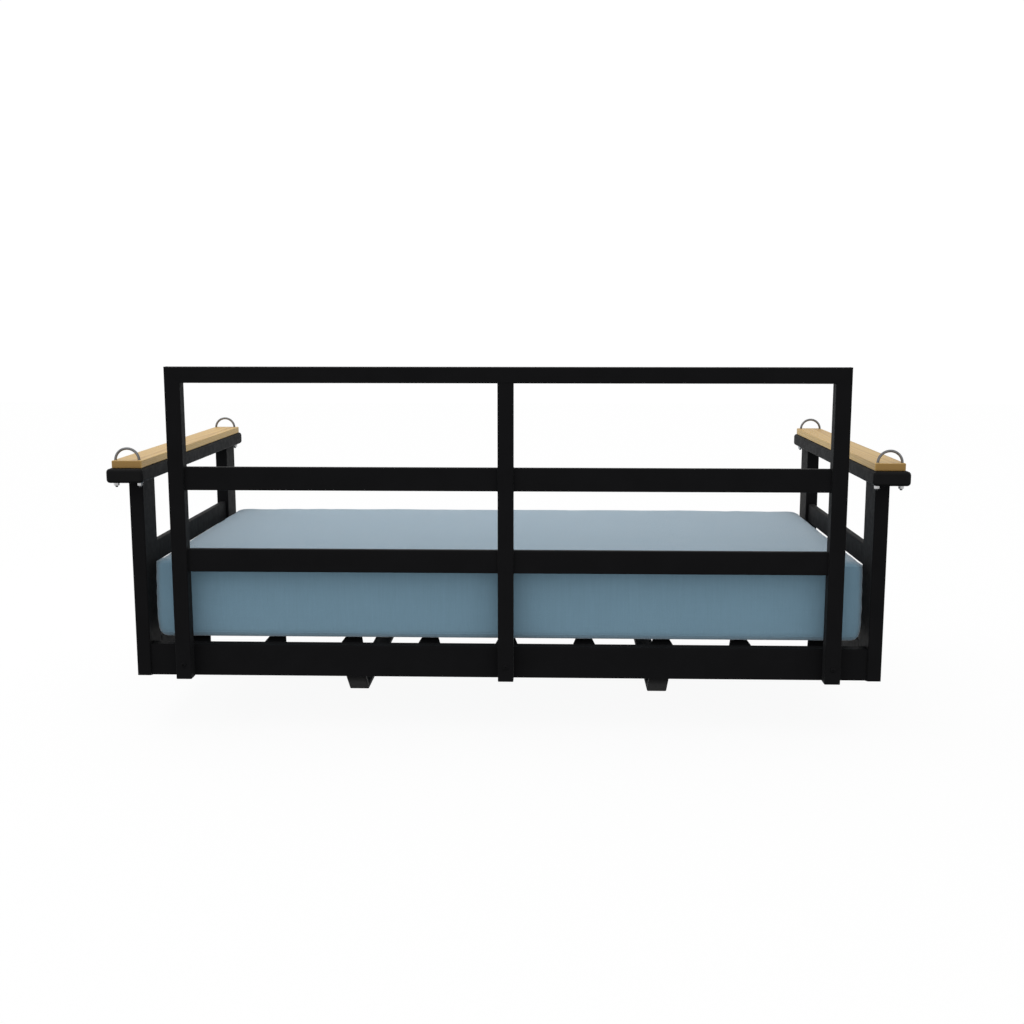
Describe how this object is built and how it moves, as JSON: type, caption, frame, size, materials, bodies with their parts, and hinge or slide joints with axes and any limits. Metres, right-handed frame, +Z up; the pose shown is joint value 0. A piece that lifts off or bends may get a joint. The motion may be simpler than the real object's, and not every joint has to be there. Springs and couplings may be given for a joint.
{
  "type": "porch swing",
  "caption": "Daybed-sized porch swing: welded tube frame with an open back, slatted base, wood arm tops with hanging loops, and a thick loose seat cushion.",
  "frame": {"origin": "bottom centre of the whole object's box, at the height of the lower bars' undersides", "axes": "+Z up, +X along the seat's length, the seat's open front faces -Y and the back frame stands at +Y"},
  "size_m": [2.099, 1.072, 0.9187],
  "materials": {
    "black_powder_coat": "satin black powder coat",
    "armrest_wood": "clear-finished light pine-like wood",
    "black_plastic": "matt black moulded plastic",
    "dark_steel": "dark plain steel",
    "zinc_plate": "bright zinc plate",
    "blue_linen": "slub-woven dusty blue cloth"
  },
  "bodies": {
    "root": {"rear_apron": "black_powder_coat", "front_apron": "black_powder_coat", "rear_slat_ledge": "black_powder_coat", "front_slat_ledge": "black_powder_coat", "back_top_rail": "black_powder_coat", "back_left_stile": "black_powder_coat", "back_centre_stile": "black_powder_coat", "back_right_stile": "black_powder_coat", "left_side_rail": "black_powder_coat", "left_mid_rail": "black_powder_coat", "left_rear_post": "black_powder_coat", "left_front_post": "black_powder_coat", "left_lower_bar": "black_powder_coat", "left_arm_rail": "black_powder_coat", "lower_left_back_slat": "black_powder_coat", "upper_left_back_slat": "black_powder_coat", "right_side_rail": "black_powder_coat", "right_mid_rail": "black_powder_coat", "right_rear_post": "black_powder_coat", "right_front_post": "black_powder_coat", "right_lower_bar": "black_powder_coat", "right_arm_rail": "black_powder_coat", "lower_right_back_slat": "black_powder_coat", "upper_right_back_slat": "black_powder_coat", "seat_slat_1": "black_powder_coat", "seat_slat_2": "black_powder_coat", "seat_slat_3": "black_powder_coat", "seat_slat_4": "black_powder_coat", "seat_slat_5": "black_powder_coat", "seat_slat_6": "black_powder_coat", "seat_slat_7": "black_powder_coat", "seat_slat_8": "black_powder_coat", "seat_slat_9": "black_powder_coat", "left_armrest_plank": "armrest_wood", "right_armrest_plank": "armrest_wood", "left_rear_arm_cap": "black_plastic", "left_front_arm_cap": "black_plastic", "right_rear_arm_cap": "black_plastic", "right_front_arm_cap": "black_plastic", "left_rear_u_bolt": "dark_steel", "left_front_u_bolt": "dark_steel", "right_rear_u_bolt": "dark_steel", "right_front_u_bolt": "dark_steel", "back_left_bolt": "dark_steel", "back_centre_bolt": "dark_steel", "back_right_bolt": "dark_steel", "left_rear_u_bolt_nut_1": "zinc_plate", "left_rear_u_bolt_nut_2": "zinc_plate", "left_front_u_bolt_nut_1": "zinc_plate", "left_front_u_bolt_nut_2": "zinc_plate", "right_rear_u_bolt_nut_1": "zinc_plate", "right_rear_u_bolt_nut_2": "zinc_plate", "right_front_u_bolt_nut_1": "zinc_plate", "right_front_u_bolt_nut_2": "zinc_plate", "back_left_bolt_nut": "zinc_plate", "back_centre_bolt_nut": "zinc_plate", "back_right_bolt_nut": "zinc_plate"},
    "cushion": {"seat_cushion": "blue_linen"}
  },
  "joints": [
    {"name": "cushion_lift", "type": "slide", "parent": "root", "child": "cushion", "axis": [0, 0, 1], "range_m": [0, 0.2]}
  ]
}
